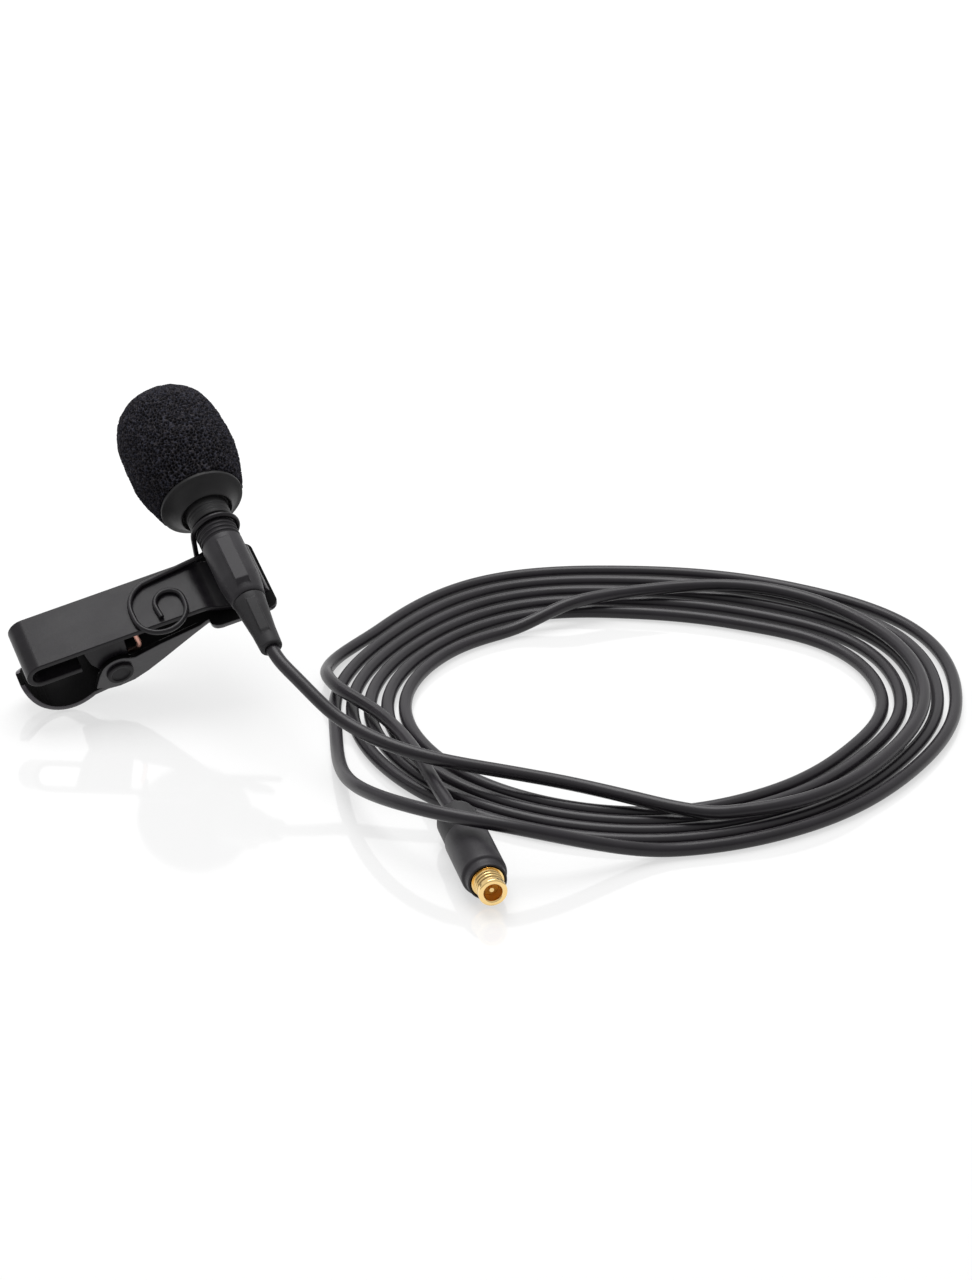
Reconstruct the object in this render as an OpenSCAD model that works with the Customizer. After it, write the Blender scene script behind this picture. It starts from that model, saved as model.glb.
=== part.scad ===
// Lavalier microphone with a foam windscreen, lying on its sheet-metal clip beside its coiled lead.
// Lengths are in millimetres. The surface that it lies on is z = 0.

/* [Windscreen] */
// Widest diameter of the foam
foam_d = 13.5; // [12:0.5:17]
// Length of the foam along the microphone
foam_len = 16.3; // [15.1:0.2:20]
// Diameter of the foam where it meets the collar disc
foam_base_d = 10.9; // [10.7:0.2:13]
// Diameter of the collar disc
disc_d = 10.3; // [9:0.1:10.6]
// Outer diameter of the collar neck
neck_d = 5.3; // [5.2:0.1:6]

/* [Capsule] */
// Outer diameter of the capsule housing
housing_d = 4.5; // [4.2:0.1:4.7]
// Wall of the capsule housing
housing_wall = 0.3; // [0.25:0.01:0.32]
// Length of the capsule housing
housing_len = 13.9; // [13.3:0.1:14.5]
// Thickness of the sheet parts of the electret cartridge
can_wall = 0.15; // [0.12:0.01:0.18]

/* [Boot] */
// Diameter of the boot
boot_d = 5; // [4.9:0.1:5.2]
// Distance from the holding ring to the end of the boot
boot_len = 11.5; // [11:0.1:13]
// Distance from the end of the boot to the end of the strain relief
relief_len = 7.7; // [6:0.1:9]
// Diameter of the strain relief at the boot
relief_d1 = 4; // [3.4:0.1:4.1]
// Diameter of the strain relief where the lead leaves it
relief_d2 = 2.7; // [2.4:0.1:3]
// Height that the raised strip stands over the boot
strip_h = 0.2; // [0.1:0.05:0.4]

/* [Clip] */
// Thickness of the clip's sheet metal
sheet = 0.7; // [0.5:0.05:0.75]
// Width of the clip
clip_w = 7.5; // [7.2:0.1:8.5]
// Length of the front plate from the microphone to its folded finger end
front_len = 27.05; // [26.9:0.05:27.2]
// Width of the wide tip of the rear jaw
tip_w = 10.6; // [9:0.2:12]
// Diameter of the hinge pin
pin_d = 1.6; // [1.2:0.1:1.7]
// Diameter of the hinge pin's heads
pin_head_d = 3.3; // [2.6:0.1:4]
// Diameter of the spring wire
spring_wire_d = 0.6; // [0.4:0.05:0.6]
// Diameter of the wire that holds the microphone
holder_wire_d = 0.64; // [0.5:0.02:0.7]

/* [Lead] */
// Diameter of the lead
cord_d = 1.6; // [1.4:0.1:1.7]
// Turns of the coil in its lower layer
coil_turns = 5; // [3:1:6]

/* [Plug] */
// Diameter of the plug's shell
shell_d = 5.1; // [5:0.1:5.4]
// Length of the plug's shell
shell_len = 9.4; // [8:0.2:10]
// Length of the rubber sleeve behind the shell
sleeve_len = 5.9; // [5:0.1:7]
// Outer diameter of the threaded barrel
barrel_d = 3.2; // [2.8:0.1:3.4]
// Length of the barrel beyond the shell
barrel_out = 2.4; // [2.2:0.1:4]

/* [Hidden] */

$fn = 48;
fit = 0.05;        // running clearance on the radius
seat = 0.02;       // clearance between pieces that are assembled for good

// Where the microphone and its clip lie: the centre of the holding ring, and the turn of its axes.
// In those axes +Y runs along the microphone to its lead, +X along the clip and +Z out of its face.
place_at = [8.13, -1.47, 19.95];
place_turn = [-25, 12.5, -160.5];

function turn_x(p, a) = [p.x, p.y * cos(a) - p.z * sin(a), p.y * sin(a) + p.z * cos(a)];
function turn_y(p, a) = [p.x * cos(a) + p.z * sin(a), p.y, -p.x * sin(a) + p.z * cos(a)];
function turn_z(p, a) = [p.x * cos(a) - p.y * sin(a), p.x * sin(a) + p.y * cos(a), p.z];
function turned(p) = turn_z(turn_y(turn_x(p, place_turn.x), place_turn.y), place_turn.z);
function placed(p) = place_at + turned(p);

module place() translate(place_at) rotate(place_turn) children();
// Children are drawn along +Z and put along the microphone, with their -Y side outwards.
module along_mic() place() rotate([-90, 0, 0]) children();

// ---- places along the microphone, from the holding ring (0), towards the lead
housing_r = housing_d / 2;
housing_in_r = housing_r - housing_wall;
ring_groove_w = 0.72;
ring_groove_depth = 0.07;
boot_start = -0.75;
housing_end = boot_start;
housing_start = housing_end - housing_len;
collar_end = boot_start - 0.05;
disc_at = -4.65;
disc_t = 0.4;
cone_top = -2.95;
foam_start = disc_at - disc_t;
sleeve_start = foam_start - 3.6;
sleeve_t = 0.35;
relief_end = boot_len + relief_len;
spigot_len = 2.3;

// ---- windscreen
foam_wide_at = 6.5;      // from the base of the foam to its widest place
foam_dome = foam_len - foam_wide_at;
foam_bore_top = housing_start - 0.6;

foam_squareness = 3.3;   // 2 is an oval dome, and more is fuller in its shoulders

function foam_outline() = let (k = 2 / foam_squareness) concat(
    [for (i = [0:6]) let (u = i / 6)
        [foam_base_d / 2 + (foam_d - foam_base_d) / 2 * sin(90 * u), foam_start - foam_wide_at * u]],
    [for (a = [4, each [12:8:84], 88])
        [foam_d / 2 * pow(cos(a), k), foam_start - foam_wide_at - foam_dome * pow(sin(a), k)]],
    [[0, foam_start - foam_len]]);

module foam_windscreen() color("#26262a") along_mic() difference() {
    rotate_extrude() polygon(concat([[0, foam_start]], foam_outline()));
    translate([0, 0, foam_bore_top]) cylinder(r = housing_r + fit, h = 20);
    translate([0, 0, sleeve_start]) cylinder(r = neck_d / 2, h = 20);
}

module windscreen_collar() color("#2e2e31") along_mic() rotate_extrude() difference() {
    polygon([
        [housing_r + fit, sleeve_start], [neck_d / 2, sleeve_start], [neck_d / 2, foam_start],
        [disc_d / 2 - 0.1, foam_start], [disc_d / 2, foam_start + 0.1], [disc_d / 2, disc_at],
        [disc_d / 2 - 0.25, disc_at + 0.12],
        [neck_d / 2 + 0.62, cone_top], [neck_d / 2 + 0.5, cone_top + 0.03],
        [neck_d / 2 + 0.34, cone_top - 0.3], [neck_d / 2, cone_top - 0.3],
        [neck_d / 2, collar_end], [housing_r + fit, collar_end]]);
    for (s = [-2.05, -1.45]) translate([neck_d / 2, s]) circle(r = 0.14, $fn = 24);
}

// ---- capsule
grille_t = 0.3;
grille_lip = 0.4;
felt_t = 0.3;
can_r = housing_in_r - 0.05;
can_start = housing_start + grille_lip + felt_t;
can_len = 4;
stack_r = can_r - can_wall;
can_in = can_start + can_wall;
ring_t = 0.2;
film_t = 0.05;
spacer_t = 0.1;
plate_t = 0.4;
plate_r = stack_r - 0.35;
stack_top = can_in + ring_t + film_t + spacer_t;
insulator_len = 2.1;
board_t = 0.4;
fet_size = [1.2, 0.8, 0.5];

module capsule_grille() color("#3c3c40") along_mic() difference() {
    union() {
        translate([0, 0, housing_start - grille_t]) cylinder(r = housing_r, h = grille_t);
        translate([0, 0, housing_start]) cylinder(r = housing_in_r - seat, h = grille_lip);
    }
    translate([0, 0, housing_start + 0.01]) cylinder(r = housing_in_r - 0.3, h = grille_lip);
    for (a = [0:60:300]) rotate([0, 0, a]) translate([1, 0, housing_start - 1])
        cylinder(r = 0.28, h = 2, $fn = 24);
    translate([0, 0, housing_start - 1]) cylinder(r = 0.28, h = 2, $fn = 24);
}

module capsule_housing() color("#303034") along_mic() translate([0, 0, housing_start]) difference() {
    cylinder(r = housing_r, h = housing_len);
    translate([0, 0, -1]) cylinder(r = housing_in_r, h = housing_len + 2);
}

module dust_felt() color("#8a857c") along_mic() translate([0, 0, housing_start + grille_lip])
    cylinder(r = can_r, h = felt_t);

module electret_can() color("#b8b9bc") along_mic() translate([0, 0, can_start]) difference() {
    cylinder(r = can_r, h = can_len);
    translate([0, 0, can_wall]) cylinder(r = stack_r, h = can_len);
    translate([0, 0, -1]) cylinder(r = 0.5, h = 2);
}

module washer(at, r_out, r_in, t) along_mic() translate([0, 0, at]) difference() {
    cylinder(r = r_out, h = t);
    translate([0, 0, -1]) cylinder(r = r_in, h = t + 2);
}

module diaphragm_ring() color("#c9a24b") washer(can_in, stack_r - seat, stack_r - 0.35, ring_t);

module diaphragm() color("#d8c27a") along_mic() translate([0, 0, can_in + ring_t])
    cylinder(r = stack_r - seat, h = film_t);

module spacer_ring() color("#ece7d8")
    washer(can_in + ring_t + film_t, stack_r - seat, stack_r - 0.35, spacer_t);

module backplate() color("#b08d3f") along_mic() translate([0, 0, stack_top]) difference() {
    cylinder(r = plate_r, h = plate_t);
    for (a = [0:90:270]) rotate([0, 0, a]) translate([0.75, 0, -1]) cylinder(r = 0.16, h = 3, $fn = 24);
}

module backplate_insulator() color("#e4e0d0") along_mic() translate([0, 0, stack_top]) difference() {
    cylinder(r = stack_r - seat, h = insulator_len);
    translate([0, 0, -1]) cylinder(r = plate_r + seat, h = plate_t + 1);
    translate([0, 0, plate_t - 0.01]) cylinder(r = plate_r - 0.25, h = insulator_len);
}

board_at = stack_top + insulator_len;
module fet_board() color("#2f6b45") along_mic() translate([0, 0, board_at])
    cylinder(r = stack_r - seat, h = board_t);

module fet() color("#1c1c1e") along_mic() translate([-fet_size.x / 2, -fet_size.y / 2, board_at - fet_size.z])
    cube(fet_size);

gate_start = stack_top + plate_t;
module gate_lead() color("#c8c9cc") along_mic() translate([0, 0, gate_start])
    cylinder(r = 0.12, h = board_at - fet_size.z - gate_start, $fn = 24);

// ---- boot
wire_bore_r = 0.75;
cable_end_at = 7.8;
wire_start = board_at + board_t;
crimp_at = 8.3;
crimp_len = 0.8;
cavity_start = 7.5;
cavity_r = 1.25;
cable_bore_r = cord_d / 2 + seat;
spigot_r = cavity_r - seat;

module conductor(x, r) along_mic() translate([x, 0, wire_start])
    cylinder(r = r, h = cable_end_at - wire_start, $fn = 24);
module core_wire() color("#b03a34") conductor(0.35, 0.2);
module shield_wire() color("#b5713a") conductor(-0.35, 0.22);

module raised_strip(w, side) rotate([90, 0, 90]) translate([0, 0, -w / 2])
    linear_extrude(w) polygon([for (p = side) [-p[1], p[0]]]);

boot_r = boot_d / 2;
groove_r = boot_r - ring_groove_depth;
taper_start = boot_len - 3.2;
strip_end = boot_len - 1.6;
module mic_boot() color("#2a2a2d") difference() {
    union() {
        along_mic() rotate_extrude() difference() {
            polygon([
                [0, boot_start - spigot_len], [housing_in_r - seat, boot_start - spigot_len],
                [housing_in_r - seat, boot_start], [boot_r - 0.05, boot_start], [boot_r, boot_start + 0.08],
                [boot_r, -ring_groove_w / 2], [groove_r, -ring_groove_w / 2],
                [groove_r, ring_groove_w / 2], [boot_r, ring_groove_w / 2],
                [boot_r, taper_start], [boot_r - 0.17, (taper_start + boot_len) / 2],
                [relief_d1 / 2 + 0.08, boot_len - 0.12], [relief_d1 / 2, boot_len], [0, boot_len]]);
            for (s = [1.0, 1.6, 2.2]) translate([boot_r, s]) circle(r = 0.16, $fn = 24);
        }
        along_mic() raised_strip(1.7, [
            [3, boot_r - 0.4], [3.3, boot_r + strip_h], [strip_end, boot_r + strip_h],
            [strip_end + 0.8, boot_r - 0.6]]);
    }
    along_mic() translate([0, 0, boot_start - spigot_len - 1]) cylinder(r = wire_bore_r, h = 30);
    along_mic() translate([0, 0, cavity_start]) cylinder(r = cavity_r, h = 30);
}

module strain_relief() color("#242427") difference() {
    union() {
        along_mic() rotate_extrude() polygon([
            [0, crimp_at + crimp_len + seat], [spigot_r, crimp_at + crimp_len + seat], [spigot_r, boot_len],
            [relief_d1 / 2 - 0.12, boot_len], [relief_d1 / 2 - 0.02, boot_len + 0.12],
            [relief_d2 / 2 + 0.12, relief_end - 2.7], [relief_d2 / 2, relief_end - 0.2],
            [relief_d2 / 2 - 0.15, relief_end], [0, relief_end]]);
        along_mic() raised_strip(1.2, [
            [boot_len + 0.8, relief_d1 / 2 - 0.4], [boot_len + 1.1, relief_d1 / 2 + 0.05],
            [relief_end - 2.2, relief_d2 / 2 + 0.25], [relief_end - 1.5, relief_d2 / 2 - 0.2]]);
    }
    along_mic() cylinder(r = cable_bore_r, h = 40);
}

module cable_end() color("#232326") along_mic() translate([0, 0, cable_end_at])
    cylinder(r = cord_d / 2, h = relief_end - cable_end_at);

module cable_crimp() color("#c9ccd0") washer(crimp_at, cavity_r - seat, cord_d / 2 + seat, crimp_len);

// ---- clip
face_z = -3.3;            // face of the front plate, measured from the microphone's axis
clip_y0 = 0.3;
clip_mid = clip_y0 + clip_w / 2;
clip_y1 = clip_y0 + clip_w;
mid = sheet / 2;
pivot = [16.1, -9.6];
fold_r = 1.55;            // middle radius of the folded finger end
spoon_c = [22.6, -7.2];
spoon_r = 5.65;
spoon_from = 238;
spoon_to = 342;
spoon_corner = 3;         // rounding of the finger end's corners

function arc(c, r, a0, a1, n) = [for (i = [0:n]) let (a = a0 + (a1 - a0) * i / n)
    [c.x + r * cos(a), c.y + r * sin(a)]];
function unit(v) = v / norm(v);
function way(p, i) = unit(p[min(i + 1, len(p) - 1)] - p[max(i - 1, 0)]);
// A sheet of thickness t bent along the path p
function bent(p, t) = concat(
    [for (i = [0:len(p) - 1]) let (d = way(p, i)) p[i] + t / 2 * [-d.y, d.x]],
    [for (i = [len(p) - 1:-1:0]) let (d = way(p, i)) p[i] - t / 2 * [-d.y, d.x]]);
// Draws a profile of [x, z] in the clip's axes, from y to y + w
module profile(y, w) place() translate([0, y + w, 0]) rotate([90, 0, 0]) linear_extrude(w) children();
module hinge_hole(r) place() translate([pivot.x, clip_y0 - 2, pivot.y]) rotate([-90, 0, 0])
    cylinder(r = r, h = clip_w + 4);

cradle_c = [0, 1.3];      // centre of the cradle under the microphone
cradle_r = 6.1 + mid;
fold_end_x = 20.4;
front_path = concat(
    arc(cradle_c, cradle_r, 238, 306, 10),
    [[4.5, face_z - mid - 0.05], [5.3, face_z - mid]],
    [for (x = [8, 14, 20]) [x, face_z - mid]],
    arc([front_len - fold_r - mid, face_z - mid - fold_r], fold_r, 90, -90, 12),
    [[fold_end_x, face_z - mid - 2 * fold_r]]);
ear_gap = 0.05;
ear_y = [clip_y0 + sheet + ear_gap, clip_y1 - 2 * sheet - ear_gap];
ear_r = 1.7;
front_ear = [[14.7, face_z - mid], [20.1, face_z - mid], [19.2, -7.4], [pivot.x + ear_r, pivot.y],
    [pivot.x - ear_r, pivot.y]];

module clip_front_plate() color("#38383b") difference() {
    union() {
        profile(clip_y0, clip_w) polygon(bent(front_path, sheet));
        for (y = ear_y) profile(y, sheet) union() {
            polygon(front_ear);
            translate(pivot) circle(r = ear_r);
        }
        // the lug that the spring's leg bears on
        profile(clip_mid + 1.2, 1.3) translate([12.35, -5.3]) square([0.5, 5.3 + face_z - mid]);
    }
    hinge_hole(pin_d / 2 + fit);
}

flap_x = [-4.1, 4.3];
flap_corner = 1.2;
spoon_x = 21;             // past this the finger end is rounded
spoon_top = spoon_c.y + spoon_r * sin(spoon_to);
jaw_path = concat(
    [[flap_x[0], -5.9], [3.5, -5.9], [4.6, -6.2], [6.4, -7.2], [8.4, -8.4], [10.6, -9.75], [12.8, -11],
     [14.6, -11.75], [16.4, -11.95], [17.9, -11.75]],
    arc(spoon_c, spoon_r, spoon_from, spoon_to, 18));
jaw_wall = [[4.4, -6.15], [10.6, -7.1], [13.9, -7.9], [14.5, -7.75], [18.6, -9.2], [19.3, -11.3],
    [17.9, -11.75], [16.4, -11.95], [14.6, -11.75], [12.8, -11], [10.6, -9.75], [8.4, -8.4], [6.4, -7.2]];

module rounded(x0, y0, x1, y1, r) {
    translate([x0 + r, y0]) square([x1 - x0 - 2 * r, y1 - y0]);
    translate([x0, y0 + r]) square([x1 - x0, y1 - y0 - 2 * r]);
    for (x = [x0 + r, x1 - r], y = [y0 + r, y1 - r]) translate([x, y]) circle(r = r);
}

module clip_rear_jaw() color("#333336") difference() {
    union() {
        intersection() {
            profile(clip_mid - tip_w / 2, tip_w) polygon(bent(jaw_path, sheet));
            union() {
                place() translate([0, 0, -20]) linear_extrude(30) {
                    rounded(flap_x[0], clip_mid - tip_w / 2, flap_x[1], clip_mid + tip_w / 2, flap_corner);
                    translate([flap_x[1] - flap_corner, clip_y0])
                        square([spoon_x + 1 - flap_x[1] + flap_corner, clip_w]);
                }
                // the rounded finger end
                place() translate([spoon_x, 0, 0]) rotate([90, 0, 90]) linear_extrude(spoon_r * 2)
                    rounded(clip_y0, spoon_c.y - spoon_r * 2, clip_y1, spoon_top, spoon_corner);
            }
        }
        for (y = [clip_y0, clip_y1 - sheet]) profile(y, sheet) union() {
            polygon(jaw_wall);
            translate(pivot) circle(r = 2.4);
        }
    }
    hinge_hole(pin_d / 2 + fit);
}

head_t = 0.4;
module hinge_pin() color("#4a4a4e") place()
    translate([pivot.x, 0, pivot.y]) rotate([-90, 0, 0]) difference() {
    union() {
        translate([0, 0, clip_y0 - head_t - seat]) cylinder(r = pin_d / 2, h = clip_w + 2 * (head_t + seat));
        translate([0, 0, clip_y0 - head_t - seat]) cylinder(r = pin_head_d / 2, h = head_t);
        translate([0, 0, clip_y1 + seat]) cylinder(r = pin_head_d / 2, h = head_t);
    }
    for (z = [clip_y0 - head_t - seat, clip_y1 + head_t + seat]) translate([0, 0, z])
        rotate_extrude() polygon([[0, -0.2], [pin_head_d / 2 - 0.5, -0.2], [pin_head_d / 2 - 0.5, 0],
            [pin_head_d / 2 - 0.8, 0.2], [0, 0.2]]);
}

// A tube round the points of a path. Its rings have n corners and stand square to the path, the first
// corner towards up, which is carried along the path without twist.
function square_to(u, d) = unit(u - (u * d) * d);
module tube(path, r, n, up = [0, 0, 1]) {
    last = len(path) - 1;
    ups = [for (i = 0, u = square_to(up, way(path, 0)); i <= last;
        i = i + 1, u = square_to(u, way(path, min(i, last)))) u];
    polyhedron([for (i = [0:last]) let (u = ups[i], side = cross(u, way(path, i))) for (k = [0:n - 1])
        path[i] + r * (sin(-360 * k / n) * side + cos(360 * k / n) * u)],
        concat([[for (k = [n - 1:-1:0]) k], [for (k = [0:n - 1]) last * n + k]],
        [for (i = [0:last - 1], k = [0:n - 1]) let (a = i * n + k, b = i * n + (k + 1) % n)
            each [[a, b, b + n], [a, b + n, a + n]]]));
}

// ---- spring round the hinge pin: one leg bears on the front plate's lug and one on the rear jaw
spring_r = 1.25;
spring_y = [5.7, 2.4];
spring_turn = 90 + 360 * 3;
spring_front_leg = [[13.2, -4.75], [13.95, -6.9], [14.7, -8.8]];
spring_rear_leg = [[17.6, -10.9], [20.2, -11.3]];
module torsion_spring() color("#b87333") place() tube(concat(
    [for (p = spring_front_leg) [p.x, spring_y[0], p.y]],
    [for (a = [0:45:spring_turn]) [pivot.x + spring_r * cos(180 + a),
        spring_y[0] + (spring_y[1] - spring_y[0]) * a / spring_turn, pivot.y + spring_r * sin(180 + a)]],
    [for (p = spring_rear_leg) [p.x, spring_y[1], p.y]]), spring_wire_d / 2, 6);

// ---- one wire: a leg up the plate's edge, round the boot's groove, and along the plate's face to a curl
wire_r = holder_wire_d / 2;
ring_r = groove_r + fit + wire_r;
wire_z = face_z + wire_r - seat;
leg_end = -4.6;
wire_to_face = [[1.2, 0.25, -2.7], [2.6, 0.75, -2.78], [5, 1, -2.88]];
// The curl's three bends: centre and radius of each, and its free end
curl = [[9.3, 5, 3.5], [9.65, 6.2, 3.15], [8.2, 5.4, 1.7]];
curl_end = [9.75, 7.2];
function flat(p) = [for (q = p) [q.x, q.y, wire_z]];
wire_path = concat(
    [for (z = [leg_end, leg_end / 2, -0.5]) [ring_r, 0, z]],
    [for (a = [0:15:270]) [ring_r * cos(a), 0, ring_r * sin(a)]],
    wire_to_face, flat(arc(curl[0], curl[0].z, -81.6, 0, 6)), flat(arc(curl[1], curl[1].z, 0, 180, 11)),
    flat(arc(curl[2], curl[2].z, 180, 360, 9)), flat([curl_end]));
module wire_holder() color("#1d1d1f") place() tube(wire_path, wire_r, 8, [1, 0, 0]);

// ---- coil: one upper turn over the lower ones, drawn about its centre
coil_c = [59.38, -8.77, 0];
cord_r = cord_d / 2;
layer = cord_d + 0.45;
lower_from = 510;
lower_to = lower_from + 360 * coil_turns;
upper_from = 285;
turn_step = 15;
// Radius of the upper turn at every 30 degrees, from 270
upper_at = [31, 32.6, 32.2, 33.3, 33.3, 32, 26.8, 24.7, 27.1, 28.7, 28.7];
// Radius of the first lower turn, and the space from each turn to the next, every 30 degrees from 150
first_at = [27.1, 28.5, 28.1, 27.5, 26.8, 25.4, 25.2, 27.2, 26.3, 22.6, 22.1, 24.9];
space_at = [2.15, 2.1, 2.1, 2.1, 2.1, 2.1, 2.1, 2.2, 2.9, 3.2, 3.1, 2.9];

function cubic(a, b, c, d, t) = b + t / 2 * (c - a
    + t * (2 * a - 5 * b + 4 * c - d + t * (3 * (b - c) + d - a)));
function along(v, u) = let (i = floor(u), n = len(v))
    cubic(v[(i - 1 + n) % n], v[i % n], v[(i + 1) % n], v[(i + 2) % n], u - i);
function smooth(t) = let (c = min(1, max(0, t))) c * c * (3 - 2 * c);
function hump(x, before, after) = let (u = x / (x < 0 ? before : after)) abs(u) < 1 ? pow(cos(90 * u), 2) : 0;

function upper_turn(a) = [along(upper_at, (a - 270) / 30), cord_r + layer * (1 - smooth((a - 466) / 26))];
// The last turn swings out and over the plug.
function lower_turn(a) = let (u = (a - lower_from) / 30, last = a - lower_to + 360 - 90)
    [along(first_at, u % 12) + u / 12 * along(space_at, u % 12) + 8.2 * hump(last + 3, 52, 38),
     cord_r + 5.7 * hump(last - 1, 45, 33)];
function coil_point(a) = let (p = a < lower_from ? upper_turn(a) : lower_turn(a))
    coil_c + [p[0] * cos(a), p[0] * sin(a), p[1]];
coil_path = [for (a = [upper_from:turn_step:lower_to]) coil_point(a)];
coil_last = len(coil_path) - 1;
module cord_coil() color("#242427") tube(coil_path, cord_r, 6);

// ---- plug
plug_turn = -76;
plug_at = coil_c + [-22.5, -31, shell_d / 2];
module plug(t) translate(plug_at) rotate([0, 90, plug_turn]) translate([0, 0, t]) children();
plug_dir = [cos(plug_turn), sin(plug_turn), 0];
shell_r = shell_d / 2;
sleeve_r = shell_r - 0.15;
shell_in_r = 2.05;
shell_end = sleeve_len + shell_len;
spigot_end = sleeve_len + 3.6;
barrel_r = barrel_d / 2;
neck_r = barrel_r + 0.2;  // radius of the barrel inside the shell
barrel_wall = 0.6;
flange_t = 0.8;
nose_t = 3.2;             // thickness of the shell's front end
rim_depth = 0.5;

module plug_relief() color("#28282b") plug(0) rotate_extrude() polygon([
    [0, 0], [1.3, 0], [1.75, 0.2], [2.2, 0.8], [sleeve_r, 1.6], [sleeve_r, sleeve_len - 0.02],
    [shell_in_r - seat, sleeve_len - 0.02], [shell_in_r - seat, spigot_end], [0, spigot_end]]);

module plug_shell() color("#303033") plug(0) rotate_extrude() polygon([
    [shell_in_r, sleeve_len], [shell_r - 0.15, sleeve_len], [shell_r, sleeve_len + 0.15],
    [shell_r, shell_end - 0.3], [shell_r - 0.15, shell_end], [neck_r + 0.4, shell_end],
    [neck_r + 0.35, shell_end - rim_depth], [neck_r + seat, shell_end - rim_depth],
    [neck_r + seat, shell_end - nose_t], [shell_in_r, shell_end - nose_t]]);

module plug_barrel() color("#d4a83f") plug(shell_end) rotate_extrude() polygon([
    [barrel_r - barrel_wall, -nose_t - flange_t - seat], [shell_in_r - seat, -nose_t - flange_t - seat],
    [shell_in_r - seat, -nose_t - seat], [neck_r, -nose_t - seat], [neck_r, 0], [barrel_r, 0],
    [barrel_r, barrel_out - 0.15],
    [barrel_r - 0.12, barrel_out], [barrel_r - barrel_wall, barrel_out]]);

insulator_back = 1.5;     // the insulator is set back from the barrel's mouth
pin_r = 0.25;
module plug_insulator() color("#c98a2b") plug(shell_end - nose_t - flange_t) difference() {
    cylinder(r = barrel_r - barrel_wall - seat, h = nose_t + flange_t + barrel_out - insulator_back);
    translate([0, 0, -1]) cylinder(r = pin_r + seat, h = 20, $fn = 24);
}
module plug_pin() color("#d9b24a") plug(shell_end - nose_t - flange_t - 0.8)
    cylinder(r = pin_r, h = nose_t + flange_t + 0.8 + barrel_out - 0.7, $fn = 24);

// ---- free runs of the lead, through points that are measured from the coil's centre
mic_runs = [[-41, -12, 10.2], [-38, -15, 8.4], [-35.5, -17, 7.1], [-31, -20, 6], [-26.5, -22, 5.3],
    [-22, -23, 4.7], [-16.5, -23.5, 3.9], [-10.5, -24.5, 3.2], [-6, -26, 2.9], [-2, -28, 2.9], [2, -30, 2.9]];
plug_runs = [[-37, 12, 1], [-38.3, 7, 1.7], [-38, 3, 2.6], [-36.4, -1, 3], [-33.5, -4.5, 2.95],
    [-31, -8, 2.9], [-28.5, -13, 2.9], [-26.5, -18.5, 2.9], [-24.5, -25, 2.8]];

function spline(p, n) = concat(
    [for (i = [1:len(p) - 3], k = [0:n - 1]) cubic(p[i - 1], p[i], p[i + 1], p[i + 2], k / n)],
    [p[len(p) - 2]]);
// A free run from point a to point b. Its ends are straight for one diameter, along the ways da and db.
function free_run(a, da, mids, b, db) = concat([a], spline(concat(
    [a, a + cord_d * da], [for (m = mids) coil_c + m], [b - cord_d * db, b]), 2), [b]);

mic_end = placed([0, relief_end, 0]);
mic_path = free_run(mic_end, turned([0, 1, 0]), mic_runs, coil_path[0], unit(coil_path[1] - coil_path[0]));
plug_path = free_run(coil_path[coil_last], unit(coil_path[coil_last] - coil_path[coil_last - 1]), plug_runs,
    plug_at, plug_dir);
module cord_from_mic() color("#242427") tube(mic_path, cord_r, 8);
module cord_to_plug() color("#242427") tube(plug_path, cord_r, 8);

// Least space between the surfaces of two runs of cord, leaving out points that are close along the cord
function off_line(p, a, b) = let (d = b - a, t = min(1, max(0, (p - a) * d / (d * d)))) norm(p - a - t * d);
function space(a, b, apart) = min([for (i = [0:len(a) - 1], k = [0:len(b) - 2])
    if (apart == 0 || abs(i - k) > apart) off_line(a[i], b[k], b[k + 1])]) - cord_d;
function part_of(v, from, to) = [for (i = [from:to]) v[i]];
function path_len(v, i = 1) = i >= len(v) ? 0 : norm(v[i] - v[i - 1]) + path_len(v, i + 1);
echo(coil_gap_to_itself = space(coil_path, coil_path, 4));
echo(mic_run_to_coil = space(part_of(mic_path, 0, len(mic_path) - 4), coil_path, 0),
    plug_run_to_coil = space(part_of(plug_path, 3, len(plug_path) - 1), coil_path, 0),
    mic_run_to_plug_run = space(mic_path, plug_path, 0));
echo(cord_lengths = [path_len(mic_path), path_len(coil_path), path_len(plug_path)], rings = [len(mic_path),
    len(coil_path), len(plug_path)]);
echo(lowest_points = [for (v = [mic_path, coil_path, plug_path]) min([for (p = v) p.z]) - cord_r]);

foam_windscreen();
windscreen_collar();
capsule_grille();
capsule_housing();
dust_felt();
electret_can();
diaphragm_ring();
diaphragm();
spacer_ring();
backplate();
backplate_insulator();
fet_board();
fet();
gate_lead();
core_wire();
shield_wire();
mic_boot();
strain_relief();
cable_end();
cable_crimp();
clip_front_plate();
clip_rear_jaw();
hinge_pin();
torsion_spring();
wire_holder();
cord_from_mic();
cord_coil();
cord_to_plug();
plug_relief();
plug_shell();
plug_barrel();
plug_insulator();
plug_pin();
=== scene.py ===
"""Lavalier microphone on its clip, with a foam windscreen and a coiled lead.

Shapes are drawn in millimetres, each in its own piece's axes, and put in place in metres.
"""
import math

import bmesh
import bpy
from mathutils import Euler, Matrix, Vector, noise


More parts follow.
